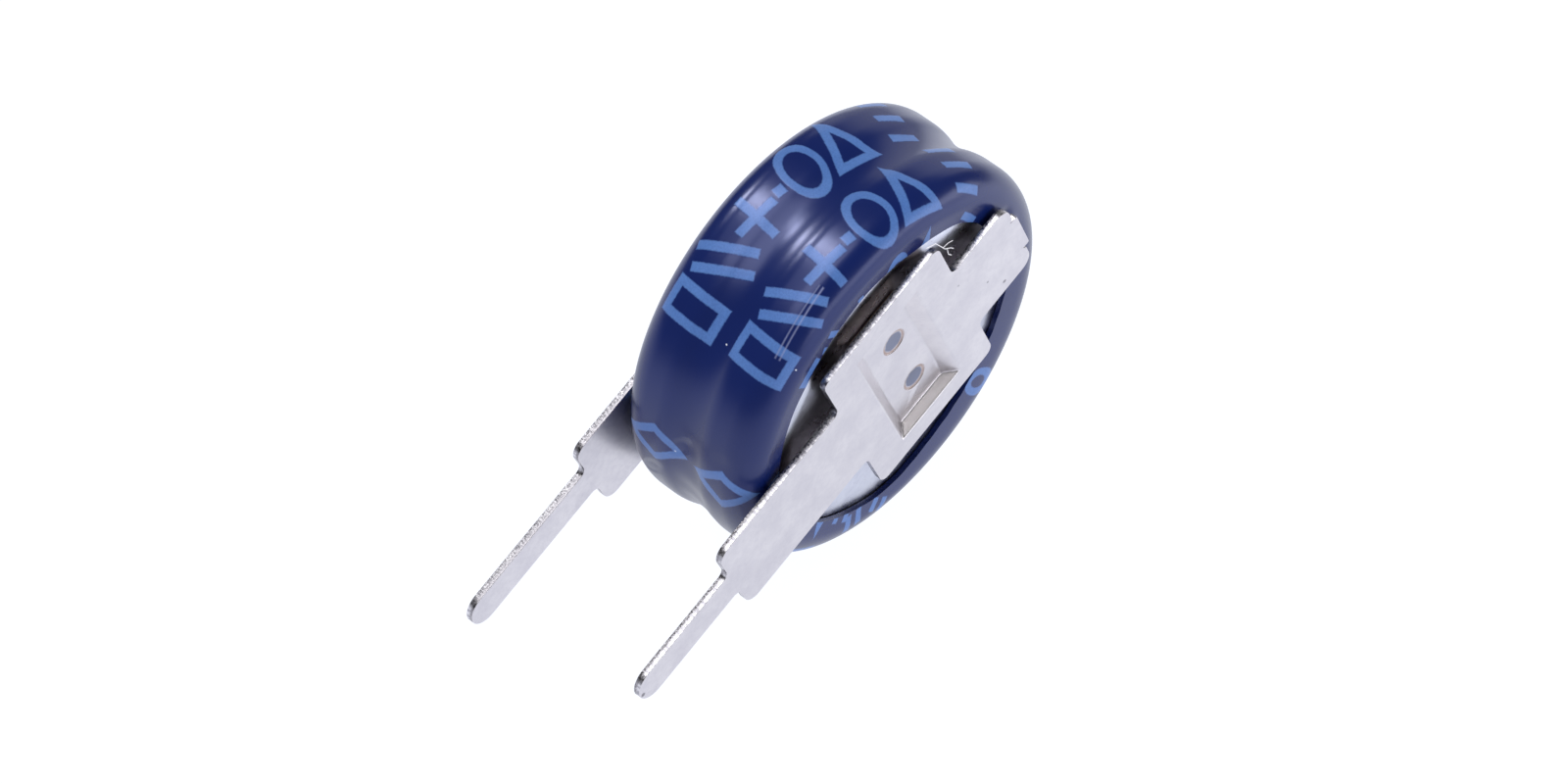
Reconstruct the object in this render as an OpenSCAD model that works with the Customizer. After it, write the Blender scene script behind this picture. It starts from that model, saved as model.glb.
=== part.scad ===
// Coin-type supercapacitor with two upright board pins.
// Two coin cells are stacked in series, face to face, inside one shrunk plastic sleeve.
// A stamped terminal is spot-welded to each end face and runs down past the rim as a flat pin.
//
// The pieces are drawn upright, as they stand on a circuit board: the origin is the middle of
// the cell stack, Y runs along the stack from front to rear, and the pins point down -Z.
// lay() then puts the whole part down as it lies on a bench: on the sleeve's two ridges and
// on the tip of the longer pin.

/* [Coin cells] */
// Diameter of one bare coin cell
cell_d = 11.4; // [10:0.1:13]
// Thickness of one coin cell, cap face to can bottom
cell_t = 2.05; // [2:0.05:3]
// Outer radius of the can's bottom edge and of its crimped rim
edge_r = 0.95; // [0.7:0.05:0.98]
// Sheet thickness of the can
can_t = 0.25; // [0.15:0.01:0.3]
// How far round the crimped rim is curled over the gasket, in degrees
curl_angle = 62; // [50:1:68]
// Width of the crimped rim, from the can's outside in to the side of the cap
rim_w = 0.9; // [0.85:0.05:1.2]
// Sheet thickness of the cap
cap_t = 0.2; // [0.12:0.01:0.25]
// Outer radius of the cap's edge
cap_edge_r = 0.3; // [0.26:0.02:0.5]
// How far the cap's flange stands out under the crimp
flange_w = 0.35; // [0.2:0.01:0.45]
// Height of the flange's upper face above the cap's face
flange_h = 0.85; // [0.7:0.05:0.95]
// Thickness of the porous separator between the electrodes
separator_t = 0.2; // [0.1:0.02:0.4]
// Gap between the separator and the gasket around it
separator_gap = 0.1; // [0.05:0.01:0.3]
// Gap between each electrode and the wall around it
electrode_gap = 0.3; // [0.15:0.05:0.6]

/* [Sleeve] */
// Wall of the shrunk sleeve
sleeve_wall = 0.15; // [0.1:0.01:0.25]
// Gap between the cells and the sleeve
sleeve_gap = 0.04; // [0.02:0.01:0.1]
// Outer radius of the sleeve's shoulders, where it turns in over the end faces
shoulder_r = 0.9; // [0.7:0.05:0.98]
// Depth of the waist that the sleeve draws between the two cells
waist_depth = 0.2; // [0.08:0.01:0.35]
// How far the sleeve's lip reaches in over each end face, from the sleeve's outside
lip_w = 1.32; // [1.2:0.02:1.9]
// Gap between the drawn-in lip and the end face under it
lip_gap = 0.02; // [0.01:0.01:0.05]

/* [Terminals] */
// Distance between the centre planes of the two pins
pin_pitch = 5.0; // [4.9:0.1:7.5]
// Sheet thickness of the terminals
sheet_t = 0.2; // [0.12:0.01:0.25]
// Width of the pins
pin_w = 1.1; // [0.8:0.05:1.3]
// Length of the front pin, from its shoulder to its tip
front_pin_l = 3.8; // [2:0.1:4.2]
// Length of the rear pin, which is the longer one
rear_pin_l = 4.85; // [4.4:0.05:6]
// Width of the strip that crosses the end face
strip_w = 3.24; // [2.9:0.02:3.8]
// Drop of the shoulders below the middle of the cells
shoulder_drop = 7.0; // [6.6:0.1:8]
// Width of the wide part that is welded to the cell
wide_w = 6.7; // [6.2:0.1:7]
// Lower edge of the wide part below the middle of the cells
wide_low = 2.1; // [1.7:0.1:2.6]
// Upper edge of the wide part above the middle of the cells
wide_high = 2.55; // [2.2:0.05:2.8]
// Top of the strip above the middle of the cells
strip_top = 4.78; // [4:0.02:5]
// Width of the stub left where the terminal was cut from its carrier strip
stub_w = 1.6; // [1:0.1:1.8]
// Height of that stub
stub_h = 0.15; // [0.08:0.01:0.25]
// Depth of the relief nick on each side of the stub
nick_d = 0.12; // [0.06:0.01:0.2]
// Sideways offset of both terminals from the middle of the cells
terminal_shift = -0.5; // [-0.8:0.1:0.8]
// Radius of the outer corners of the stamping
corner_r = 0.4; // [0.2:0.05:0.45]
// Radius of the four corners of the wide part
wide_corner_r = 0.28; // [0.1:0.02:0.4]
// Radius of the inner corners of the stamping
root_r = 0.22; // [0.1:0.02:0.25]

/* [Welding pocket] */
// Width of the pocket, across the strip
pocket_w = 5.25; // [4.4:0.05:5.4]
// Height of the pocket, along the strip
pocket_h = 2.45; // [2:0.05:2.6]
// Height of the pocket's middle above the middle of the cells
pocket_rise = 0.22; // [0:0.02:0.3]
// Slope of the pocket's two side walls, in degrees
side_slope = 78; // [60:1:80]
// Slope of the pocket's two end ramps, in degrees
ramp_slope = 42; // [40:1:60]
// Radius of the bends around the pocket
bend_r = 0.12; // [0.05:0.01:0.12]
// Diameter of one spot weld
weld_d = 0.8; // [0.5:0.05:1]
// Depth of the dimple that the electrode leaves in a weld
weld_sink = 0.03; // [0.01:0.01:0.06]
// Distance between the two spot welds
weld_pitch = 2.4; // [1.8:0.1:3]
// Sideways offset of the welds from the middle of the pocket
weld_shift = 0.2; // [-0.3:0.05:0.3]
// Height of the welds above the middle of the pocket
weld_rise = 0.12; // [-0.2:0.02:0.2]

/* [Hidden] */

// Straight steps in each drawn arc
arc_steps = 10;
// Straight steps in each rounded corner of the stampings
corner_steps = 6;
// More than any size here, for cuts that run out of the material
beyond = 30;

cell_r = cell_d / 2;
cap_r = cell_r - rim_w;
stack_half = cell_t;
electrode_t = (cell_t - can_t - cap_t - separator_t) / 2;
sleeve_r = cell_r + sleeve_gap + sleeve_wall;
sleeve_half = stack_half + sleeve_gap + sleeve_wall;
opening_r = sleeve_r - lip_w;

// The waist is a hollow arc that runs smoothly into the bulge over each cell's inner edge.
bulge_r = edge_r + sleeve_gap + sleeve_wall;
waist_r = (edge_r * edge_r + waist_depth * waist_depth) / (2 * waist_depth) - bulge_r;
waist_axis = sleeve_r - waist_depth + waist_r;
waist_turn = atan2(edge_r, waist_axis - (cell_r - edge_r));

// The terminal's outer face, and how deep the pocket must reach to touch the cell
face_y = (pin_pitch + sheet_t) / 2;
pocket_depth = face_y - sheet_t - stack_half;

// Resting position. The sleeve's rim touches the bench, and so does the rounded tip of the
// rear pin: the tip's centre lies at the height of its own radius.
tip_r = pin_w / 2;
tip_drop = shoulder_drop + rear_pin_l - tip_r;
lean = asin((sleeve_r - tip_r) / norm([tip_drop, terminal_shift])) - atan2(terminal_shift, tip_drop);
tip_reach = tip_drop * cos(lean) - terminal_shift * sin(lean) + tip_r;

// Points along an arc about centre c, from angle a0 to a1
function arc(c, r, a0, a1, steps = arc_steps) =
    [for (i = [0 : steps]) let (a = a0 + (a1 - a0) * i / steps) c + r * [cos(a), sin(a)]];

function reversed(points) = [for (i = [len(points) - 1 : -1 : 0]) points[i]];
function unit(v) = v / norm(v);

// Round the corner p between its neighbours a and b with radius r
function corner(a, p, b, r) =
    r <= 0 ? [p] :
    let (
        ua = unit(a - p),
        ub = unit(b - p),
        half = acos(ua * ub) / 2,
        c = p + unit(ua + ub) * r / sin(half),
        s = p + ua * r / tan(half) - c,
        e = p + ub * r / tan(half) - c,
        a0 = atan2(s[1], s[0]),
        turn = atan2(s[0] * e[1] - s[1] * e[0], s * e)
    ) arc(c, r, a0, a0 + turn, corner_steps);

// An outline whose corners, given as [x, y, radius], are rounded
function rounded(corners) =
    let (n = len(corners), xy = [for (k = corners) [k[0], k[1]]])
    [for (i = [0 : n - 1])
        each corner(xy[(i + n - 1) % n], xy[i], xy[(i + 1) % n], corners[i][2])];

// Put the upright part down on the bench, centred over the origin.
module lay() {
    translate([(tip_reach - sleeve_r) / 2, 0, sleeve_r])
        rotate([0, 90 - lean, 0])
            children();
}

// Turn a solid of revolution from the Z axis to the stack's axis, with its base at y.
module along_stack(y = 0) {
    translate([0, y, 0])
        rotate([-90, 0, 0])
            children();
}

// ---- Sleeve ----

// One surface of the sleeve as [radius, height along the stack], a depth d under the outside
function sleeve_surface(d) =
    let (
        rim = [sleeve_r - shoulder_r, sleeve_half - shoulder_r],
        bulge = [cell_r - edge_r, edge_r],
        upper = concat(
            arc([waist_axis, 0], waist_r + d, 180, 180 - waist_turn),
            arc(bulge, bulge_r - d, -waist_turn, 0),
            arc(rim, shoulder_r - d, 0, 90),
            [[opening_r, stack_half + lip_gap + sleeve_wall - d]]
        )
    ) concat([for (p = reversed(upper)) [p[0], -p[1]]], upper);

// The sleeve hugs both cells and turns in over the two end faces.
module sleeve() {
    color("#1b2a63")
        along_stack()
            rotate_extrude($fn = 128)
                polygon(concat(sleeve_surface(0), reversed(sleeve_surface(sleeve_wall))));
}

// ---- Terminals ----

// Right half of the stamping's outline, from the pin's rounded tip up to the stub
function terminal_side(pin_l) = [
    [pin_w / 2, tip_r - shoulder_drop - pin_l, 0],
    [pin_w / 2, -shoulder_drop, root_r],
    [strip_w / 2, -shoulder_drop, corner_r],
    [strip_w / 2, -wide_low, root_r],
    [wide_w / 2, -wide_low, wide_corner_r],
    [wide_w / 2, wide_high, wide_corner_r],
    [strip_w / 2, wide_high, root_r],
    [strip_w / 2, strip_top, corner_r],
    [stub_w / 2 + nick_d, strip_top, 0],
    [stub_w / 2, strip_top - nick_d, 0],
    [stub_w / 2, strip_top + stub_h, nick_d / 2],
];

// The flat blank: pin, shoulders, strip, wide part and the cut-off end
module blank(pin_l) {
    side = terminal_side(pin_l);
    step = 90 / corner_steps;
    tip = arc([0, side[0][1]], tip_r, 180 + step, 360 - step, 2 * corner_steps - 2);
    polygon(concat(tip, rounded(concat(side, [for (k = reversed(side)) [-k[0], k[1], k[2]]]))));
}

// Section of a pressed dish, w wide at its rim and d deep below y = 0, open upwards
module dish_section(w, d, slope) {
    run = d / tan(slope);
    polygon(rounded([
        [-beyond, beyond, 0],
        [-beyond, 0, 0],
        [-w / 2, 0, bend_r],
        [-w / 2 + run, -d, bend_r],
        [w / 2 - run, -d, bend_r],
        [w / 2, 0, bend_r],
        [beyond, 0, 0],
        [beyond, beyond, 0],
    ]));
}

// A pressed dish with steep side walls across X and soft end ramps along Z.
// grow widens it by the sheet's thickness, for the bulge behind the pocket.
module dish(d, grow) {
    intersection() {
        rotate([180, 0, 0])
            linear_extrude(2 * beyond, center = true)
                dish_section(pocket_w + 2 * grow * tan(side_slope / 2), d, side_slope);
        rotate([180, 0, 0])
            rotate([0, 90, 0])
                linear_extrude(2 * beyond, center = true)
                    dish_section(pocket_h + 2 * grow * tan(ramp_slope / 2), d, ramp_slope);
    }
}

// The pressed pocket's bulge on the cell's side of the sheet, with its bends around it
module pocket_bulge() {
    rim = sheet_t + bend_r;
    intersection() {
        translate([0, sheet_t, 0])
            dish(pocket_depth, sheet_t);
        translate([0, sheet_t / 2 + pocket_depth, 0])
            cube([pocket_w + 2 * rim, 2 * pocket_depth + sheet_t, pocket_h + 2 * rim], center = true);
    }
}

// A spot weld's round dimple, in the floor of the pocket
module weld_dimple() {
    translate([0, pocket_depth - 1, 0])
        rotate([-90, 0, 0])
            cylinder(d = weld_d, h = 1 + weld_sink, $fn = 48);
}

// A stamped terminal with its outer face on y = 0 and the cell behind it
module terminal(pin_l) {
    difference() {
        union() {
            rotate([90, 0, 0])
                translate([0, 0, -sheet_t])
                    linear_extrude(sheet_t)
                        blank(pin_l);
            translate([0, 0, pocket_rise])
                pocket_bulge();
        }
        translate([0, 0, pocket_rise]) {
            dish(pocket_depth, 0);
            for (side = [-1, 1])
                translate([weld_shift + side * weld_pitch / 2, 0, weld_rise])
                    weld_dimple();
        }
    }
}

module front_terminal() {
    color("#cfcdd6")
        translate([terminal_shift, -face_y, 0])
            terminal(front_pin_l);
}

module rear_terminal() {
    color("#cfcdd6")
        mirror([0, 1, 0])
            translate([terminal_shift, -face_y, 0])
                terminal(rear_pin_l);
}

// ---- One coin cell: its axis is Z, its cap's face is on z = 0 ----

rim_c = [cell_r - edge_r, edge_r];
floor_c = [cell_r - edge_r, cell_t - edge_r];

// Inside of the can from the end of the curl, round the rim and down to the floor
function can_inside() = concat(
    arc(rim_c, edge_r - can_t, -curl_angle, 0),
    arc(floor_c, edge_r - can_t, 0, 90)
);

// Deep-drawn can, the positive case: a flat floor and a rim curled in over the gasket
module can() {
    color("#c9ccd2")
        rotate_extrude($fn = 128)
            polygon(concat(
                [[0, cell_t]],
                reversed(arc(floor_c, edge_r, 0, 90)),
                reversed(arc(rim_c, edge_r, -curl_angle, 0)),
                can_inside(),
                [[0, cell_t - can_t]]
            ));
}

// Drawn cap, the negative case: a shallow hat whose flange is held by the gasket
module cap() {
    color("#d6d8dc")
        rotate_extrude($fn = 128)
            polygon(concat(
                [[0, 0]],
                arc([cap_r - cap_edge_r, cap_edge_r], cap_edge_r, -90, 0),
                [
                    [cap_r, flange_h],
                    [cap_r + flange_w, flange_h],
                    [cap_r + flange_w, flange_h + cap_t],
                    [cap_r - cap_t, flange_h + cap_t],
                ],
                arc([cap_r - cap_edge_r, cap_edge_r], cap_edge_r - cap_t, 0, -90),
                [[0, cap_t]]
            ));
}

// Moulded sealing ring: it fills the space between can and cap, and wraps the flange
module gasket() {
    inside = can_inside();
    color("#e9e6da")
        rotate_extrude($fn = 128)
            polygon(concat(
                [[cap_r, inside[0][1]]],
                inside,
                [
                    [cap_r - cap_t, cell_t - can_t],
                    [cap_r - cap_t, flange_h + cap_t],
                    [cap_r + flange_w, flange_h + cap_t],
                    [cap_r + flange_w, flange_h],
                    [cap_r, flange_h],
                ]
            ));
}

// A round layer of the stack inside a cell, from height z
module layer(r, z, t) {
    translate([0, 0, z])
        cylinder(r = r, h = t, $fn = 96);
}

module negative_electrode() {
    color("#26262a")
        layer(cap_r - cap_t - electrode_gap, cap_t, electrode_t);
}

module separator() {
    color("#efece2")
        layer(cap_r - cap_t - separator_gap, cap_t + electrode_t, separator_t);
}

module positive_electrode() {
    color("#1e1e22")
        layer(cap_r - cap_t - electrode_gap, cell_t - can_t - electrode_t, electrode_t);
}

// Places of the two cells, both with their cap to the front, so that they add up in series
module front_cell() {
    along_stack(-cell_t)
        children();
}

module rear_cell() {
    along_stack(0)
        children();
}

lay() sleeve();
lay() front_terminal();
lay() rear_terminal();
lay() front_cell() can();  // front_can
lay() front_cell() cap();  // front_cap
lay() front_cell() gasket();  // front_gasket
lay() front_cell() negative_electrode();  // front_negative_electrode
lay() front_cell() separator();  // front_separator
lay() front_cell() positive_electrode();  // front_positive_electrode
lay() rear_cell() can();  // rear_can
lay() rear_cell() cap();  // rear_cap
lay() rear_cell() gasket();  // rear_gasket
lay() rear_cell() negative_electrode();  // rear_negative_electrode
lay() rear_cell() separator();  // rear_separator
lay() rear_cell() positive_electrode();  // rear_positive_electrode
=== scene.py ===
import math

import bmesh
import bpy
from mathutils import Matrix, Vector


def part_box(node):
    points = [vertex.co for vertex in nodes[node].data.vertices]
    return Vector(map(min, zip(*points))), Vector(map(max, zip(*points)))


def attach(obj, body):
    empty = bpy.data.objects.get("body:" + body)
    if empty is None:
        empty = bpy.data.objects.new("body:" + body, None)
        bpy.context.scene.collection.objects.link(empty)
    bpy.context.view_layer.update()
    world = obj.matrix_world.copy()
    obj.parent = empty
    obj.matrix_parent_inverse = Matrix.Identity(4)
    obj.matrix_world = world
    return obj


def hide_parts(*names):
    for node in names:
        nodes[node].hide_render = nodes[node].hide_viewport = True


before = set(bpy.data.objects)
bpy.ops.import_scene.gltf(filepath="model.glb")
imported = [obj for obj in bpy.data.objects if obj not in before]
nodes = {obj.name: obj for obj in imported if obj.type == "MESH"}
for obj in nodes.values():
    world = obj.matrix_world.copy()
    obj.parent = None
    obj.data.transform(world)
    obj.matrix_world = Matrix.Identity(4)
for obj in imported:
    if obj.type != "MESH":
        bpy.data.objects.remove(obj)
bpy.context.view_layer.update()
print("frame loaded:", len(nodes), "CAD nodes")

mm = 0.001
touching = 0.001              # points nearer than this, in mm, are one

# Pieces are modelled in millimetres as they stand on a circuit board: the origin is the middle of
# the cells, Y runs along the stack, the pins point down -Z. Each is then laid down on the bench.
board = {
    "shoulderDrop": 7.0,      # from the middle of the cells down to the pins' shoulders
    "frontPin": 3.8,          # shoulder to tip
    "rearPin": 4.85,
    "pinWidth": 1.1,
    "terminalShift": -0.5,    # both terminals sit a little to one side
    "terminalFace": 2.6,      # outer faces of the terminals
    "cellHalf": 2.05,         # outer faces of the two cells
}

sleeveLow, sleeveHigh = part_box("sleeve")
sleeveCentre = (sleeveLow + sleeveHigh) / 2
sleeveRadius = (sleeveHigh.z - sleeveLow.z) / 2 / mm

# The part lies on its sleeve and on the round tip of the rear pin, which sets how far it leans.
tipRadius = board["pinWidth"] / 2
tipDrop = board["shoulderDrop"] + board["rearPin"] - tipRadius
lean = math.asin((sleeveRadius - tipRadius) / math.hypot(tipDrop, board["terminalShift"]))
lean -= math.atan2(board["terminalShift"], tipDrop)
boardTurn = math.pi / 2 - lean
layDown = Matrix.Translation(sleeveCentre) @ Matrix.Rotation(boardTurn, 4, "Y") @ Matrix.Scale(mm, 4)


# Takes an sRGB hex value to linear colour.
def colour(code):
    parts = [int(code[i:i + 2], 16) / 255 for i in (1, 3, 5)]
    return (*[c / 12.92 if c <= 0.04045 else ((c + 0.055) / 1.055) ** 2.4 for c in parts], 1)


# Adds a node and gives the first of its outputs that is in use. settings hold the node's choices
# and, by name, its inputs, and the sides fill the inputs in use in their order. An input is a
# number, a vector, a hex colour or another node's output.
def addNode(tree, kind, settings=None, *sides):
    node = tree.nodes.new("ShaderNode" + kind)
    inputs = []
    for key, value in (settings or {}).items():
        if hasattr(node, key):
            setattr(node, key, value)
        else:
            inputs.append((node.inputs[key], value))
    inputs += zip([socket for socket in node.inputs if socket.enabled], sides)
    for socket, value in inputs:
        if isinstance(value, bpy.types.NodeSocket):
            tree.links.new(value, socket)
        else:
            socket.default_value = colour(value) if isinstance(value, str) else value
    return next((socket for socket in node.outputs if socket.enabled), None)


# Choices of the nodes that do arithmetic, carry a value softly to another range and mix colours.
plus = {"operation": "ADD"}
minus = {"operation": "SUBTRACT"}
times = {"operation": "MULTIPLY"}
timesPlus = {"operation": "MULTIPLY_ADD"}
absolute = {"operation": "ABSOLUTE"}
larger = {"operation": "MAXIMUM"}
smaller = {"operation": "MINIMUM"}
wrapped = {"operation": "FLOORED_MODULO"}
lengthOf = {"operation": "LENGTH"}
softly = {"interpolation_type": "SMOOTHSTEP"}
inColour = {"data_type": "RGBA"}


def newMaterial(name, settings):
    material = bpy.data.materials.new(name)
    material.use_nodes = True
    shader = material.node_tree.nodes["Principled BSDF"]
    for key, value in settings.items():
        shader.inputs[key].default_value = value
    return material, material.node_tree, shader


def pick(obj):
    if bpy.context.object and bpy.context.object.mode != "OBJECT":
        bpy.ops.object.mode_set(mode="OBJECT")
    bpy.ops.object.select_all(action="DESELECT")
    obj.select_set(True)
    bpy.context.view_layer.objects.active = obj


def editMode(on):
    bpy.ops.object.mode_set(mode="EDIT" if on else "OBJECT")


# Selects the vertices, edges or faces of a mesh in edit mode that pass a test.
def select(obj, part, test):
    mesh = bmesh.from_edit_mesh(obj.data)
    bpy.ops.mesh.select_all(action="DESELECT")
    bpy.ops.mesh.select_mode(type=part)
    for item in {"VERT": mesh.verts, "EDGE": mesh.edges, "FACE": mesh.faces}[part]:
        item.select = test(item)
    mesh.select_flush_mode()
    bmesh.update_edit_mesh(obj.data)


def useModifier(obj, kind, **settings):
    pick(obj)
    modifier = obj.modifiers.new(kind.lower(), kind)
    for key, value in settings.items():
        setattr(modifier, key, value)
    bpy.ops.object.modifier_apply(modifier=modifier.name)


# Draws a line of vertices by extruding the first one from point to point, and stays in edit mode.
def drawLine(name, points):
    bpy.ops.object.select_all(action="DESELECT")
    bpy.ops.mesh.primitive_plane_add(size=1, location=(0, 0, 0))
    obj = bpy.context.object
    obj.name = obj.data.name = name
    editMode(True)
    bpy.ops.mesh.select_mode(type="VERT")
    bpy.ops.mesh.select_all(action="SELECT")
    bpy.ops.mesh.merge(type="CENTER")
    bpy.ops.transform.translate(value=points[0])
    for start, end in zip(points, points[1:]):
        step = Vector(end) - Vector(start)
        bpy.ops.mesh.extrude_vertices_move(TRANSFORM_OT_translate={"value": step})
    return obj


# Points of an arc in the plane of the first two axes, angles in degrees.
def arcPoints(centre, radius, start, end, steps):
    turns = [math.radians(start + (end - start) * i / steps) for i in range(steps + 1)]
    return [(centre[0] + radius * math.cos(t), centre[1] + radius * math.sin(t), 0) for t in turns]


# Lays a finished piece down on the bench, in metres, and ties it to the part.
def finishPiece(obj, replacedNode=None, smoothAngle=35):
    pick(obj)
    bpy.ops.object.shade_smooth_by_angle(angle=math.radians(smoothAngle))
    obj.matrix_world = layDown
    bpy.ops.object.transform_apply(location=True, rotation=True, scale=True)
    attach(obj, "root")
    if replacedNode:
        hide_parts(replacedNode)


# The place on a piece in millimetres, as it stands on the board.
def boardCoords(tree):
    place = addNode(tree, "TexCoord").node.outputs["Object"]
    settings = {
        "vector_type": "TEXTURE",
        "Location": sleeveCentre,
        "Rotation": (0, boardTurn, 0),
        "Scale": (mm, mm, mm),
    }
    return addNode(tree, "Mapping", settings, place)


# Flat coordinates in millimetres from a mark's own middle, turned with it by degrees.
def markCoords(tree, coords, centre, turn, scale=(1, 1)):
    settings = {
        "vector_type": "TEXTURE",
        "Location": (*centre, 0),
        "Rotation": (0, 0, math.radians(turn)),
        "Scale": (*scale, 1),
    }
    return addNode(tree, "Mapping", settings, coords)


# Turns the distance to an outline into the distance to a stroke drawn along it.
def strokeAlong(tree, away, width):
    return addNode(tree, "Math", minus, addNode(tree, "Math", absolute, away), width / 2)


# Distance to a bar's edge, below zero inside it.
def barMark(tree, coords, centre, size, turn):
    local = markCoords(tree, coords, centre, turn)
    away = addNode(tree, "VectorMath", absolute, local)
    past = addNode(tree, "VectorMath", minus, away, (size[0] / 2, size[1] / 2, 0))
    pastWidth, pastHeight, _ = addNode(tree, "SeparateXYZ", None, past).node.outputs
    return addNode(tree, "Math", larger, pastWidth, pastHeight)


# Distance to the edge of a drawn ring, or of a filled disc where stroke is 0.
def ringMark(tree, coords, centre, radii, stroke=0.0, turn=0):
    local = markCoords(tree, coords, centre, turn, radii)
    length = addNode(tree, "VectorMath", lengthOf, local)
    away = addNode(tree, "Math", times, addNode(tree, "Math", minus, length, 1.0), sum(radii) / 2)
    return strokeAlong(tree, away, stroke) if stroke else away


def nearest(tree, distances):
    result = distances[0]
    for distance in distances[1:]:
        result = addNode(tree, "Math", smaller, result, distance)
    return result


# 1 inside a mark and 0 outside it, with an edge as wide as soft.
def coverage(tree, distance, soft):
    return addNode(tree, "MapRange", softly, distance, -soft / 2, soft / 2, 1.0, 0.0)


# Soft mottling, about one patch per size along each axis, in the unit of its coordinates.
def mottle(tree, coords, size, detail=2.0, stretch=(1, 1, 1)):
    settings = {"Scale": tuple(1 / (size * s) for s in stretch)}
    local = addNode(tree, "Mapping", settings, coords)
    return addNode(tree, "TexNoise", {"Scale": 1.0, "Detail": detail}, local)


mottleRange = (0.3, 0.7)      # where nearly all values of a mottling lie


# Lays patches of a tone over a base, where a pattern passes through the look's span.
def addPatches(tree, base, pattern, look):
    share = addNode(tree, "MapRange", softly, pattern, *look["span"], 0.0, look["strength"])
    return addNode(tree, "Mix", inColour, share, base, look["tone"])


# Roughens a surface by a pattern whose value is its height in millimetres.
def emboss(tree, shader, height):
    relief = addNode(tree, "Bump", {"Strength": 1.0, "Distance": mm, "Height": height})
    tree.links.new(relief, shader.inputs["Normal"])


view = {
    "azimuth": 54.746,        # 0 looks along +Y
    "elevation": 44.052,      # looks down
    "roll": 9.213,
    "distance": 155.75,       # to the target, in mm
    "target": (2.32, 1.25, 2.64),
    "lens": 134.8,            # mm
    "sensor": 36,             # mm wide
    "clip": (0.01, 5),        # m
}


def makeCamera():
    data = bpy.data.cameras.new("camera")
    data.lens = view["lens"]
    data.sensor_width = view["sensor"]
    data.clip_start, data.clip_end = view["clip"]
    camera = bpy.data.objects.new("camera", data)
    bpy.context.scene.collection.objects.link(camera)
    azimuth, elevation = math.radians(view["azimuth"]), math.radians(view["elevation"])
    level = math.cos(elevation)
    aim = Vector((math.sin(azimuth) * level, math.cos(azimuth) * level, -math.sin(elevation)))
    roll = Matrix.Rotation(math.radians(view["roll"]), 4, "Z")
    turn = aim.to_track_quat("-Z", "Y").to_matrix().to_4x4() @ roll
    place = Vector(view["target"]) * mm - aim * view["distance"] * mm
    camera.matrix_world = Matrix.Translation(place) @ turn
    bpy.context.scene.camera = camera


studio = {
    "floorSize": 6.0,         # m
    "floor": "#f6f6f8",
    "floorRoughness": 0.9,
    "shadowShare": 0.06,      # how much of the floor's look comes from the light on it
    "paper": "#f3f6ff",       # the glow of the paper, a cool white
    "paperGlow": 1.16,        # lifts the paper to plain white
    "floorFill": 1.2,         # light that the paper sends back to matt surfaces
    "skyLevel": 0.06,         # what reflections see between the lamps
    "sideFill": 1.5,          # soft light for matt surfaces, low round the part
    "topFill": 0.12,          # and overhead
    "fillHeights": (0.1, 0.85),
    "brightSide": (0.6, -0.6, 0),
    "brightSpan": (-0.6, 0.2),
    "darkSide": 0.4,          # share of the soft light that comes from the other side
    "lampDistance": 0.32,     # m
    "boxDistance": 0.35,      # the large boxes stand behind the small lamps
}

# Pools of light on the paper, as reflections show them: the middle, inner and outer reach in m
# and the level inside.
pools = [
    {"middle": (0, 0, 0), "reach": (0.012, 0.05), "level": 1.04},
    {"middle": (0.05, 0.03, 0), "reach": (0.045, 0.1), "level": 1.15},
    {"middle": (0.05, -0.075, 0), "reach": (0.05, 0.1), "level": 1.5},
]

# Lamps round the part: direction, size in m, radiance. The three small ones draw the hot spots on
# the film's ridges, and the large boxes the soft sheen round them.
lamps = [
    {"name": "key_rear", "toward": (-0.07, 0.766, 0.639), "size": (0.045, 0.045), "level": 34},
    {"name": "key_top", "toward": (-0.15, 0.445, 0.88), "size": (0.045, 0.045), "level": 30},
    {"name": "key_zenith", "toward": (-0.14, 0.27, 0.95), "size": (0.035, 0.035), "level": 16},
    {"name": "box_over", "toward": (-0.36, 0.06, 0.93), "size": (0.22, 0.32), "level": 2.9},
    {"name": "box_front", "toward": (0.5, -0.866, 0.14), "size": (0.6, 0.1), "level": 2.6},
    {"name": "box_side", "toward": (0.85, 0.42, 0.25), "size": (0.3, 0.2), "level": 0.6},
]


# White paper: plain white in the view, where it keeps the part's shadow. In reflections it shows
# pools of light that end a few centimetres from the part.
def makeFloor():
    bpy.ops.object.select_all(action="DESELECT")
    bpy.ops.mesh.primitive_plane_add(size=studio["floorSize"], location=(0, 0, 0))
    floor = bpy.context.object
    floor.name = "floor"
    settings = {"Base Color": colour(studio["floor"]), "Roughness": studio["floorRoughness"]}
    material, tree, shader = newMaterial("white_paper", settings)
    path = addNode(tree, "LightPath").node.outputs
    mirrored = addNode(tree, "Math", larger, path["Is Glossy Ray"], path["Is Transmission Ray"])
    place = addNode(tree, "NewGeometry").node.outputs["Position"]
    level = addNode(tree, "Math", times, path["Is Camera Ray"], studio["paperGlow"])
    level = addNode(tree, "Math", timesPlus, path["Is Diffuse Ray"], studio["floorFill"], level)
    for pool in pools:
        away = addNode(tree, "VectorMath", {"operation": "DISTANCE"}, place, pool["middle"])
        lit = addNode(tree, "MapRange", softly, away, *pool["reach"], pool["level"], 0.0)
        level = addNode(tree, "Math", larger, level, addNode(tree, "Math", times, mirrored, lit))
    glow = addNode(tree, "Emission", None, studio["paper"], level)
    mix = addNode(tree, "MixShader", None, 1 - studio["shadowShare"], shader.outputs[0], glow)
    tree.links.new(mix, tree.nodes["Material Output"].inputs[0])
    floor.data.materials.append(material)


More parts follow.
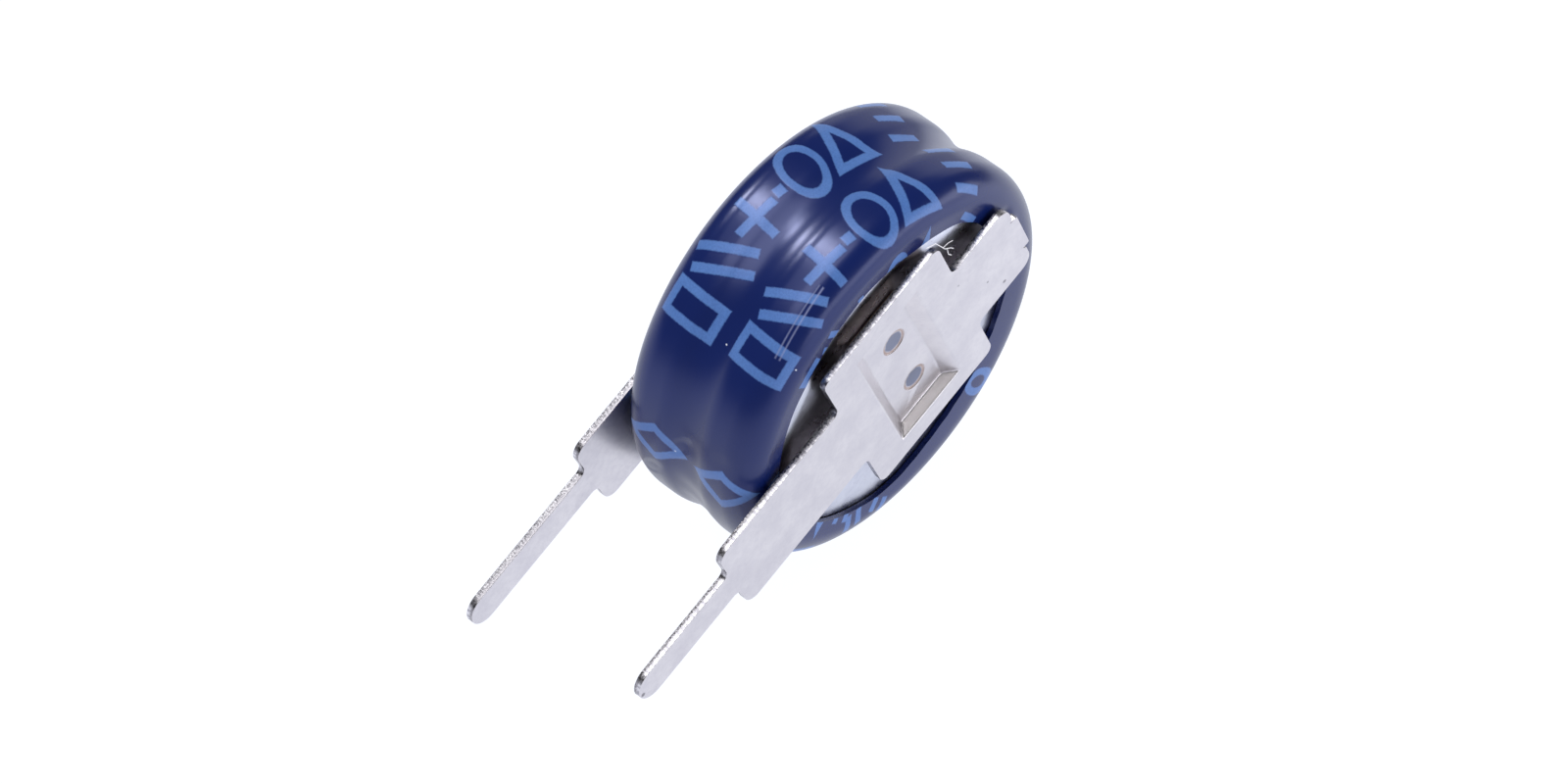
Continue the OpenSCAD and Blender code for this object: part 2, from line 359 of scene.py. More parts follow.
# What lies round the part beyond the lamps: white in the view, nearly black in reflections, and a
# soft light for matt surfaces that comes mostly from low down and from the bright side.
def makeSky():
    world = bpy.context.scene.world or bpy.data.worlds.new("studio")
    bpy.context.scene.world = world
    world.use_nodes = True
    tree = world.node_tree
    tree.nodes.clear()
    place = addNode(tree, "TexCoord").node.outputs["Generated"]
    height = addNode(tree, "SeparateXYZ", None, place).node.outputs[2]
    fills = (studio["sideFill"], studio["topFill"])
    level = addNode(tree, "MapRange", softly, height, *studio["fillHeights"], *fills)
    bright = addNode(tree, "VectorMath", {"operation": "DOT_PRODUCT"}, place, studio["brightSide"])
    share = addNode(tree, "MapRange", softly, bright, *studio["brightSpan"], studio["darkSide"], 1.0)
    level = addNode(tree, "Math", times, level, share)
    path = addNode(tree, "LightPath").node.outputs
    matt, direct = path["Is Diffuse Ray"], path["Is Camera Ray"]
    mirrored = addNode(tree, "Math", times, addNode(tree, "Math", minus, 1.0, matt), studio["skyLevel"])
    level = addNode(tree, "Math", larger, addNode(tree, "Math", timesPlus, matt, level, mirrored), direct)
    addNode(tree, "OutputWorld", None, addNode(tree, "Background", None, "#ffffff", level))


def makeLamps():
    for lamp in lamps:
        data = bpy.data.lights.new(lamp["name"], "AREA")
        data.shape = "RECTANGLE"
        data.size, data.size_y = lamp["size"]
        data.energy = lamp["level"] * math.pi * lamp["size"][0] * lamp["size"][1]
        obj = bpy.data.objects.new(lamp["name"], data)
        bpy.context.scene.collection.objects.link(obj)
        toward = Vector(lamp["toward"]).normalized()
        far = studio["boxDistance" if lamp["name"].startswith("box") else "lampDistance"]
        turn = toward.to_track_quat("Z", "Y").to_matrix().to_4x4()
        obj.matrix_world = Matrix.Translation(toward * far) @ turn


makeCamera()
makeFloor()
makeSky()
makeLamps()
bpy.context.scene.view_settings.view_transform = "Standard"
print("camera, floor and light ready")


sleeve = {
    "wall": 0.15,
    "gap": 0.04,              # to the cells
    "shoulder": 0.9,          # outer radius where the film turns in over the end faces
    "waistDepth": 0.165,
    "lipWidth": 1.32,         # how far the lip reaches in
    "lipGap": 0.02,           # to the end face
    "lipStops": (0.33, 0.66, 1),
    "cellEdge": 0.95,         # edge radius of the cells inside
    "waistSteps": 9,          # straight steps in each arc of the profile
    "bulgeSteps": 8,
    "shoulderSteps": 24,
    "spinSteps": 240,         # steps all the way round
    "smoothAngle": 50,
}

# Small dents, puckers and waves that the shrinking and handling left: the angle round the stack
# in degrees (0 is +X, 90 is up), the place along the profile from the front lip, how far the film
# is pushed outwards and along the stack, and the reach of the push.
filmDents = [
    (-117.0, 3.03, -0.03, 0.0, 0.5),
    (-120.4, 2.02, -0.03, 0.0, 0.5),
    (-124.3, 0.30, 0.0, 0.04, 0.35),
    (98.0, 0.0, 0.22, -0.08, 0.7),
    (104.0, 0.25, 0.0, 0.08, 0.4),
    (112.0, 0.0, -0.10, -0.05, 0.6),
    (130.0, 0.0, 0.07, 0.0, 1.0),
    (152.0, 0.0, -0.05, 0.0, 0.8),
    (176.0, 0.0, 0.04, 0.0, 1.0),
    (-150.0, 0.0, -0.04, 0.0, 0.9),
    (-30.0, 0.0, 0.05, 0.0, 0.9),
]
# The waist is fuller at some angles, and the front lip reaches further in over one side.
fullWaist = [(angle, 2.96, 0.03, 0.0, 0.8) for angle in (58, 68, 78, 88, -82, -92, -102)]
lipPushes = (-0.12, -0.22, -0.27, -0.30, -0.32, -0.32, -0.32, -0.29, -0.22, -0.12)
longLip = [(9 * step - 11, 0.0, push, 0.0, 0.8) for step, push in enumerate(lipPushes)]


# The outside of the film from the front lip to the rear lip, as (radius, y, 0). A hollow arc at the
# waist runs smoothly into the bulge over each cell's inner edge.
def sleeveProfile():
    s = sleeve
    half = board["cellHalf"] + s["gap"] + s["wall"]
    bulge = s["cellEdge"] + s["gap"] + s["wall"]
    cellRadius = sleeveRadius - s["gap"] - s["wall"]
    waist = (s["cellEdge"] ** 2 + s["waistDepth"] ** 2) / (2 * s["waistDepth"]) - bulge
    axis = sleeveRadius - s["waistDepth"] + waist
    turn = math.degrees(math.atan2(s["cellEdge"], axis - (cellRadius - s["cellEdge"])))
    lip = (sleeveRadius - s["lipWidth"], board["cellHalf"] + s["lipGap"] + s["wall"], 0)
    edge = (cellRadius - s["cellEdge"], s["cellEdge"])
    corner = (sleeveRadius - s["shoulder"], half - s["shoulder"])
    side = arcPoints((axis, 0), waist, 180, 180 - turn, s["waistSteps"])
    side += arcPoints(edge, bulge, -turn, 0, s["bulgeSteps"])[1:]
    side += arcPoints(corner, s["shoulder"], 0, 90, s["shoulderSteps"])
    flat = side[-1]
    side += [tuple(flat[i] + (lip[i] - flat[i]) * k for i in range(3)) for k in s["lipStops"]]
    return [(r, -y, 0) for r, y, _ in reversed(side)] + side[1:]


def profileLengths(profile):
    lengths = [0.0]
    for a, b in zip(profile, profile[1:]):
        lengths.append(lengths[-1] + math.dist(a, b))
    return lengths


def makeSleeve():
    s = sleeve
    profile = sleeveProfile()
    obj = drawLine("shrink_sleeve", profile)
    bpy.ops.mesh.select_all(action="SELECT")
    bpy.ops.mesh.spin(steps=s["spinSteps"], angle=2 * math.pi, center=(0, 0, 0), axis=(0, 1, 0))
    bpy.ops.mesh.select_all(action="SELECT")
    bpy.ops.mesh.remove_doubles(threshold=touching / 2)
    bpy.ops.mesh.normals_make_consistent(inside=False)
    editMode(False)
    writeSleeveMap(obj, profile)
    dentFilm(obj, profile)
    obj.data.materials.append(sleeveFilm("printed_shrink_pvc", True))
    obj.data.materials.append(sleeveFilm("plain_shrink_pvc", False))
    useModifier(obj, "SOLIDIFY", thickness=s["wall"], offset=-1, use_even_offset=True,
                material_offset=1, material_offset_rim=1)
    finishPiece(obj, "sleeve", s["smoothAngle"])


# UV map in millimetres: u is the way round at the outer radius, v the way over the profile.
def writeSleeveMap(obj, profile):
    lengths = profileLengths(profile)
    heights = {}
    for vert in obj.data.vertices:
        place = (math.hypot(vert.co.x, vert.co.z), vert.co.y)
        near = min(range(len(profile)), key=lambda i: math.dist(place, profile[i][:2]))
        heights[vert.index] = lengths[near]
    layer = obj.data.uv_layers.new(name="sleeve_map")
    for face in obj.data.polygons:
        middle = math.degrees(math.atan2(face.center.z, face.center.x)) % 360
        for loop in face.loop_indices:
            vert = obj.data.vertices[obj.data.loops[loop].vertex_index]
            angle = math.degrees(math.atan2(vert.co.z, vert.co.x))
            angle += 360 * round((middle - angle) / 360)
            layer.data[loop].uv = (math.radians(angle) * sleeveRadius, heights[vert.index])


# Pushes single points of the film, which carry their surroundings with them.
def dentFilm(obj, profile):
    lengths = profileLengths(profile)
    pick(obj)
    editMode(True)
    for angle, along, out, back, reach in fullWaist + filmDents + longLip:
        radius, y, _ = profile[min(range(len(profile)), key=lambda i: abs(lengths[i] - along))]
        turn = math.radians(angle)
        outwards = Vector((math.cos(turn), 0, math.sin(turn)))
        spot = outwards * radius + Vector((0, y, 0))
        place = min((vert.co - spot).length for vert in bmesh.from_edit_mesh(obj.data).verts)
        select(obj, "VERT", lambda vert: (vert.co - spot).length <= place + touching)
        push = outwards * out + Vector((0, back, 0))
        bpy.ops.transform.translate(value=push, use_proportional_edit=True, proportional_size=reach,
                                    proportional_edit_falloff="SMOOTH")
    editMode(False)


film = {
    "tones": ("#0a1a50", "#0e205c"),
    "toneSize": 2.5,                   # of the soft clouds of tone, mm
    "rippleSize": 2.2,
    "ripple": 0.008,                   # mm high
    "roughness": 0.24,
    "printedRoughness": (0.25, 0.34),  # between the marks and on them
    "inkTones": ("#456aaa", "#557bb9"),
    "inkToneSize": 0.8,
    "ink": 0.002,                      # mm thick
    "inkEdge": 0.06,                   # mm over which its edge fades
    "inkRagged": (0.07, 0.02),         # size and reach of its uneven edge
    "inkThin": (0.05, 0.82),           # size of the thin spots and how much ink they keep
}


# Heat-shrunk PVC: deep navy and glossy, with a long soft ripple. Its print is a paler, duller blue
# that lies a little rough on the film.
def sleeveFilm(name, printed):
    f = film
    settings = {"Roughness": f["roughness"], "IOR": 1.6, "Specular Tint": colour("#cdd4ff")}
    material, tree, shader = newMaterial(name, settings)
    coords = boardCoords(tree)
    tone = addNode(tree, "Mix", inColour, mottle(tree, coords, f["toneSize"]), *f["tones"])
    height = addNode(tree, "Math", times, mottle(tree, coords, f["rippleSize"], 1), f["ripple"])
    if printed:
        uv = addNode(tree, "UVMap", {"uv_map": "sleeve_map"})
        size, reach = f["inkRagged"]
        ragged = addNode(tree, "Math", timesPlus, mottle(tree, coords, size, 2), 2 * reach, -reach)
        ink = coverage(tree, addNode(tree, "Math", plus, sleevePrint(tree, uv), ragged), f["inkEdge"])
        size, share = f["inkThin"]
        cover = addNode(tree, "MapRange", softly, mottle(tree, coords, size, 3), *mottleRange, share, 1.0)
        inkTone = addNode(tree, "Mix", inColour, mottle(tree, coords, f["inkToneSize"]), *f["inkTones"])
        tone = addNode(tree, "Mix", inColour, addNode(tree, "Math", times, ink, cover), tone, inkTone)
        worn = filmWear(tree, uv)
        tone = addNode(tree, "Mix", inColour, worn["dust"], tone, wear["dustTone"])
        # Painted highlight: the crease lines are laid in a paler tone.
        pale = addNode(tree, "Math", times, worn["creaseAndHighlight"], wear["creaseHighlightStrength"])
        tone = addNode(tree, "Mix", inColour, pale, tone, wear["creaseHighlightTone"])
        rough = addNode(tree, "MapRange", softly, ink, 0.0, 1.0, *f["printedRoughness"])
        tree.links.new(rough, shader.inputs["Roughness"])
        height = addNode(tree, "Math", timesPlus, worn["creaseAndHighlight"], wear["creaseHeight"], height)
        height = addNode(tree, "Math", timesPlus, worn["dimple"], -wear["dimpleDepth"], height)
        height = addNode(tree, "Math", timesPlus, ink, f["ink"], height)
    tree.links.new(tone, shader.inputs["Base Color"])
    emboss(tree, shader, height)
    return material


# Places are the angle round the stack in degrees and the way over the profile, and a dimple has
# its reach too.
wear = {
    "creaseSpan": (183.4, 204.8),
    "creasePlaces": (1.38, 1.50),
    "creaseWidth": 0.035,
    "creaseTurn": -2,
    "creaseHeight": 0.014,            # how far the creased film stands up, mm
    # painted highlight: the pale tone of the crease lines stands in for the light they catch
    "creaseHighlightTone": "#8f97bd",
    "creaseHighlightStrength": 0.5,
    "dust": [(209.4, 2.90), (205.4, 0.81), (248.7, 3.50)],
    "dustRadii": (0.022, 0.0264),
    "dustTone": "#d8dbe6",
    "dimples": [(262.0, 4.35, 0.5), (246.0, 3.35, 0.45)],
    "dimpleFlatness": 0.45,
    "dimpleTurn": 35,
    "dimpleDepth": 0.03,
    "fades": {"creaseAndHighlight": 0.05, "dust": 0.03, "dimple": 0.3},
}


# A crease of two fine raised lines on the front ridge, whose paler tone is a painted highlight,
# two shallow dimples low on the film, and grains of pale dust.
def filmWear(tree, uv):
    perDegree = math.radians(1) * sleeveRadius
    first, last = wear["creaseSpan"]
    size = ((last - first) * perDegree, wear["creaseWidth"])
    lines = []
    for place in wear["creasePlaces"]:
        centre = ((first + last) / 2 * perDegree, place)
        lines.append(barMark(tree, uv, centre, size, wear["creaseTurn"]))
    grains = []
    for angle, along in wear["dust"]:
        grains.append(ringMark(tree, uv, (angle * perDegree, along), wear["dustRadii"]))
    dimples = []
    for angle, along, reach in wear["dimples"]:
        radii = (reach, reach * wear["dimpleFlatness"])
        dimples.append(ringMark(tree, uv, (angle * perDegree, along), radii, 0.0, wear["dimpleTurn"]))
    marks = {"creaseAndHighlight": lines, "dust": grains, "dimple": dimples}
    return {name: coverage(tree, nearest(tree, marks[name]), fade) for name, fade in wear["fades"].items()}


printing = {
    "rowPitch": 2.36,         # between two rows of marks, along the profile
    "rowPlace": 1.78,         # middle of the front row, from the front lip
    "stroke": 0.26,
    "start": 100,             # degrees at which the rows begin
    "farAway": 9.0,           # distance to a mark before any is drawn
}

# Plain shapes in a row: degrees round the stack, size in mm, turn in degrees and kind. The lip's
# marks stand alone, with their place over the profile.
rowMarks = [
    {"at": 127.2, "size": (0.95, 1.5), "turn": 14, "kind": "bars"},
    {"at": 147.5, "size": (1.15, 1.5), "turn": 6, "kind": "triangle"},
    {"at": 161.2, "size": (0.52, 0.80), "turn": 10, "kind": "ring"},
    {"at": 169.7, "size": (0.30, 0.30), "turn": 10, "kind": "dot"},
    {"at": 178.6, "size": (1.30, 1.45), "turn": 6, "kind": "plus"},
    {"at": 191.8, "size": (0.60, 1.75), "turn": -24, "kind": "slashes"},
    {"at": 206.4, "size": (0.85, 1.5), "turn": 4, "kind": "box"},
    {"at": 249.0, "size": (1.15, 1.65), "turn": 0, "kind": "diamond"},
    {"at": 298.0, "size": (1.15, 1.5), "turn": -6, "kind": "triangle"},
    {"at": 312.0, "size": (0.60, 1.6), "turn": 8, "kind": "slashes"},
]
lipMarks = [
    {"at": 23.3, "along": 0.34, "size": (0.40, 0.30), "turn": 0, "kind": "ring"},
    {"at": 319.0, "along": 0.36, "size": (0.50, 0.6), "turn": -12, "kind": "slashes"},
    {"at": 331.0, "along": 0.36, "size": (0.50, 0.5), "turn": 30, "kind": "slashes"},
]


# Distance past the straight side of a mark that falls from the top of its middle line by rise over
# a width of run.
def slantedSide(tree, x, y, rise, run, top):
    length = math.hypot(rise, run)
    away = addNode(tree, "Math", timesPlus, y, run / length, -run * top / length)
    return addNode(tree, "Math", timesPlus, x, rise / length, away)


# Distance to a mark that is drawn with strokes about its own middle. Every kind is symmetrical, so
# it is worked out in one half or one quarter, as the distance past a few straight sides.
def drawnMark(tree, coords, centre, mark):
    kind, size, stroke = mark["kind"], mark["size"], printing["stroke"]
    if kind == "ring":
        return ringMark(tree, coords, centre, size, stroke, mark["turn"])
    w, h = size[0] / 2, size[1] / 2
    local = markCoords(tree, coords, centre, mark["turn"])
    x, y, _ = addNode(tree, "SeparateXYZ", None, local).node.outputs
    x = addNode(tree, "Math", absolute, x)
    if kind == "triangle":
        low = addNode(tree, "Math", minus, -h, y)
        outline = addNode(tree, "Math", larger, slantedSide(tree, x, y, 2 * h, w, h), low)
        return strokeAlong(tree, outline, stroke)
    y = addNode(tree, "Math", absolute, y)
    if kind == "dot":
        return addNode(tree, "Math", minus, addNode(tree, "Math", larger, x, y), w)
    if kind == "diamond":
        return strokeAlong(tree, slantedSide(tree, x, y, h, w, h), stroke)
    pastWidth = addNode(tree, "Math", minus, x, w)
    pastHeight = addNode(tree, "Math", minus, y, h)
    if kind == "box":
        return strokeAlong(tree, addNode(tree, "Math", larger, pastWidth, pastHeight), stroke)
    if kind == "slashes":
        return addNode(tree, "Math", larger, strokeAlong(tree, pastWidth, stroke), pastHeight)
    if kind == "plus":
        across = addNode(tree, "Math", larger, pastWidth, addNode(tree, "Math", minus, y, stroke / 2))
        along = addNode(tree, "Math", larger, addNode(tree, "Math", minus, x, stroke / 2), pastHeight)
        return addNode(tree, "Math", smaller, across, along)
    bars = addNode(tree, "Math", smaller, y, addNode(tree, "Math", absolute, pastHeight))
    return addNode(tree, "Math", larger, addNode(tree, "Math", minus, bars, stroke / 2), pastWidth)


# Distance to the print: the row of marks repeats over the film from front to rear, so that its ends
# cut the outer rows off.
def sleevePrint(tree, uv):
    p = printing
    perDegree = math.radians(1) * sleeveRadius
    along, across, _ = addNode(tree, "SeparateXYZ", None, uv).node.outputs
    along = addNode(tree, "Math", minus, along, p["start"] * perDegree)
    along = addNode(tree, "Math", wrapped, along, 360 * perDegree)
    lift = p["rowPitch"] / 2 - p["rowPlace"]
    across = addNode(tree, "Math", wrapped, addNode(tree, "Math", plus, across, lift), p["rowPitch"])
    across = addNode(tree, "Math", minus, across, p["rowPitch"] / 2)
    row = addNode(tree, "CombineXYZ", None, along, across)
    result = p["farAway"]
    for mark in rowMarks:
        centre = ((mark["at"] - p["start"]) * perDegree, 0)
        result = addNode(tree, "Math", smaller, result, drawnMark(tree, row, centre, mark))
    for mark in lipMarks:
        centre = (mark["at"] * perDegree, mark["along"])
        result = addNode(tree, "Math", smaller, result, drawnMark(tree, uv, centre, mark))
    return result


makeSleeve()
print("sleeve ready")


terminal = {
    "sheet": 0.2,
    "stripWidth": 3.24,
    "wideWidth": 6.7,
    "wideLow": 2.1,           # lower and upper edge of the wide part
    "wideHigh": 2.55,
    "stripTop": 4.78,
    "stubWidth": 1.6,
    "stubHeight": 0.15,
    "nick": 0.12,
    "cornerRadius": 0.4,
    "wideRadius": 0.28,
    "rootRadius": 0.22,
    "pocket": (5.25, 2.45),   # width and height at the rim
    "pocketRise": 0.22,
    "pocketDepth": 0.35,
    "pocketMargin": 0.2,      # round the rim, where no side is a sheared edge
    "sideSlope": 78,          # degrees
    "rampSlope": 42,
    "bend": 0.11,
    "weldPlaces": (-1.0, 1.4),
    "weldRise": 0.34,
    "weldRadius": 0.4,
    "weldSink": 0.03,
    "punchHeight": 0.3,
    "edgeRound": 0.03,
    "sideNormal": 0.35,       # a sheared side faces less than this along Y
    "cornerSteps": 7,
    "bendSteps": 4,
    "edgeSteps": 3,
    "weldSteps": 40,
}


# Right half of the stamping from the pin's tip up to the stub, as (x, z, corner radius).
def terminalCorners(pinLength):
    t = terminal
    low = -board["shoulderDrop"]
    return [
        (board["pinWidth"] / 2, low - pinLength, board["pinWidth"] / 2),
        (board["pinWidth"] / 2, low, t["rootRadius"]),
        (t["stripWidth"] / 2, low, t["cornerRadius"]),
        (t["stripWidth"] / 2, -t["wideLow"], t["rootRadius"]),
        (t["wideWidth"] / 2, -t["wideLow"], t["wideRadius"]),
        (t["wideWidth"] / 2, t["wideHigh"], t["wideRadius"]),
        (t["stripWidth"] / 2, t["wideHigh"], t["rootRadius"]),
        (t["stripWidth"] / 2, t["stripTop"], t["cornerRadius"]),
        (t["stubWidth"] / 2 + t["nick"], t["stripTop"], 0),
        (t["stubWidth"] / 2, t["stripTop"] - t["nick"], 0),
        (t["stubWidth"] / 2, t["stripTop"] + t["stubHeight"], t["nick"] / 2),
    ]


# One surface of the stamping, at y, with the pocket pressed into it. grow is how far it lies behind
# the outer one, which widens the pocket so that the sheet keeps its thickness on the slopes.
def stampSheet(name, pinLength, y, grow):
    t = terminal
    side = terminalCorners(pinLength)
    corners = side + [(-x, z, r) for x, z, r in reversed(side)]
    obj = drawLine(name, [(x, y, z) for x, z, _ in corners])
    bpy.ops.mesh.select_all(action="SELECT")
    bpy.ops.mesh.edge_face_add()
    for radius in sorted({r for _, _, r in corners if r > 0}):
        spots = [Vector((x, y, z)) for x, z, r in corners if r == radius]
        select(obj, "VERT", lambda vert: any((vert.co - spot).length < touching for spot in spots))
        bpy.ops.mesh.bevel(offset=radius, offset_type="OFFSET", segments=t["cornerSteps"], affect="VERTICES",
                           clamp_overlap=False)
    bpy.ops.mesh.select_all(action="SELECT")
    bpy.ops.mesh.remove_doubles(threshold=touching)

    halfWide = t["pocket"][0] / 2 + grow * math.tan(math.radians(t["sideSlope"] / 2))
    halfHigh = t["pocket"][1] / 2 + grow * math.tan(math.radians(t["rampSlope"] / 2))
    rise = t["pocketRise"]
    cuts = [
        ((halfWide, 0, 0), (1, 0, 0)),
        ((-halfWide, 0, 0), (1, 0, 0)),
        ((0, 0, rise + halfHigh), (0, 0, 1)),
        ((0, 0, rise - halfHigh), (0, 0, 1)),
    ]
    for place, normal in cuts:
        bpy.ops.mesh.select_all(action="SELECT")
        bpy.ops.mesh.bisect(plane_co=place, plane_no=normal, threshold=touching / 100)

    def inPocket(item):
        places = [(abs(vert.co.x), abs(vert.co.z - rise)) for vert in item.verts]
        return all(x < halfWide + touching and z < halfHigh + touching for x, z in places)

    # The floor is drawn in by the ramps' length all round, then widened to the steeper side walls.
    select(obj, "FACE", inPocket)
    ramped = t["pocketDepth"] / math.tan(math.radians(t["rampSlope"]))
    steep = t["pocketDepth"] / math.tan(math.radians(t["sideSlope"]))
    bpy.ops.mesh.inset(thickness=ramped, depth=0)
    widen = (halfWide - steep) / (halfWide - ramped)
    bpy.ops.transform.resize(value=(widen, 1, 1), center_override=(0, 0, rise))
    bpy.ops.transform.translate(value=(0, t["pocketDepth"], 0))
    select(obj, "EDGE", inPocket)
    bpy.ops.mesh.bevel(offset=t["bend"] / 2, offset_type="OFFSET", segments=t["bendSteps"], affect="EDGES")
    editMode(False)
    return obj


# Sinks the round marks of the two welding tips into the pocket's floor.
def pressWelds(obj):
    t = terminal
    floor = -board["terminalFace"] + t["pocketDepth"]
    for x in t["weldPlaces"]:
        bpy.ops.object.select_all(action="DESELECT")
        spot = (x, floor + t["weldSink"] - t["punchHeight"] / 2, t["weldRise"])
        bpy.ops.mesh.primitive_cylinder_add(vertices=t["weldSteps"], radius=t["weldRadius"],
                                            depth=t["punchHeight"], location=spot,
                                            rotation=(math.pi / 2, 0, 0))
        punch = bpy.context.object
        useModifier(obj, "BOOLEAN", operation="DIFFERENCE", object=punch, solver="EXACT")
        bpy.data.objects.remove(punch)


# Whether a face is part of the strip's cut edge, and not of the pocket's walls.
def isSheared(face):
    t = terminal
    x, _, z = face.calc_center_median()
    inWidth = abs(x) < t["pocket"][0] / 2 + t["pocketMargin"]
    inHeight = abs(z - t["pocketRise"]) < t["pocket"][1] / 2 + t["pocketMargin"]
    return abs(face.normal.y) < t["sideNormal"] and not (inWidth and inHeight)


def makeTerminal(name, pinLength, rear, nodeName):
    t = terminal
    face = -board["terminalFace"]
    front = stampSheet(name, pinLength, face, 0)
    back = stampSheet("inner_face", pinLength, face + t["sheet"], t["sheet"])
    pick(front)
    back.select_set(True)
    bpy.ops.object.join()
    front.data.materials.append(tinPlate())
    front.data.materials.append(shearedEdge())
    editMode(True)
    select(front, "EDGE", lambda edge: edge.is_boundary)
    bpy.ops.mesh.bridge_edge_loops()
    bpy.ops.mesh.select_all(action="SELECT")
    bpy.ops.mesh.normals_make_consistent(inside=False)
    editMode(False)
    pressWelds(front)
    useModifier(front, "BEVEL", width=t["edgeRound"], segments=t["edgeSteps"], limit_method="ANGLE",
                angle_limit=math.radians(50))
    editMode(True)
    select(front, "FACE", isSheared)
    front.active_material_index = 1
    bpy.ops.object.material_slot_assign()
    bpy.ops.mesh.select_all(action="SELECT")
    bpy.ops.transform.translate(value=(board["terminalShift"], 0, 0))
    if rear:
        bpy.ops.transform.resize(value=(1, -1, 1), center_override=(0, 0, 0))
        bpy.ops.mesh.normals_make_consistent(inside=False)
    editMode(False)
    finishPiece(front, nodeName)
    useModifier(front, "WEIGHTED_NORMAL", keep_sharp=True, weight=80)


tin = {
    "tones": ("#d7d4da", "#e2dfe3"),
    "cloudSize": 0.9,                  # mm
    "patches": {"tone": "#cdcad2", "size": 0.22, "span": (0.35, 0.7), "strength": 0.35},
    "grains": {"tone": "#bcbac6", "size": 0.09, "span": (0.6, 0.8), "strength": 0.2, "height": 0.0006},
    "roughness": (0.28, 0.36),
    "bentPaintedLight": "#f9f3f5",             # painted light: lighter where the sheet turns away from its face
    "bentSpan": (0.4, 0.9),
    "bentRoughness": 0.22,
    "innerShadeTone": "#9d8c83",            # painted shade on the inner face, darker and browner, down to these heights
    "innerLow": (-4.6, -4.2),
    "peel": (0.35, 0.003),             # size and height of the plating's soft waves
}

# Marks that welding and handling left on the terminals, in the plane of their faces. A speck is
# its place and radius.
tinWear = {
    "weldDisc": 0.31,
    "weldTones": ("#7d8399", "#9297ab"),
    "weldRoughness": 0.15,
    "weldRing": 0.36,
    "ringStroke": 0.07,
    "ringTone": "#a88978",
    "ringStrength": 0.75,
    "specks": [(-0.09, 3.32, 0.04), (0.70, 3.76, 0.05), (-1.38, 2.54, 0.03), (-0.47, -10.70, 0.07)],
    "speckTone": "#4a4650",
    "speckStrength": 0.7,
    "ragged": (0.12, 0.03),            # size and reach of the marks' uneven edges
    "fades": (0.06, 0.06, 0.05),       # of the edges of rings, discs and specks
    "markPlane": (2.1, 2.2),           # between the two faces of the pocket's floor
}


# How much of a weld's ring, a weld's disc and a speck lies at each place of a terminal. Only the
# front one has specks.
def tinMarks(tree, coords, sides):
    t, w = terminal, tinWear
    flat = addNode(tree, "CombineXYZ", None, sides[0], sides[2])
    outer = addNode(tree, "MapRange", softly, addNode(tree, "Math", absolute, sides[1]), *w["markPlane"])
    front = addNode(tree, "MapRange", softly, sides[1], 0.0, 0.1, 1.0, 0.0)
    places = [(x + board["terminalShift"], t["weldRise"]) for x in t["weldPlaces"]]
    rings = nearest(tree, [ringMark(tree, flat, p, (w["weldRing"],) * 2, w["ringStroke"]) for p in places])
    discs = nearest(tree, [ringMark(tree, flat, p, (w["weldDisc"],) * 2) for p in places])
    specks = nearest(tree, [ringMark(tree, flat, (x, z), (size, size)) for x, z, size in w["specks"]])
    size, reach = w["ragged"]
    ragged = addNode(tree, "Math", timesPlus, mottle(tree, coords, size, 2), 2 * reach, -reach)
    marks = []
    for away, fade, place in zip((rings, discs, specks), w["fades"], (outer, outer, front)):
        mark = coverage(tree, addNode(tree, "Math", plus, away, ragged), fade)
        marks.append(addNode(tree, "Math", times, mark, place))
    return marks


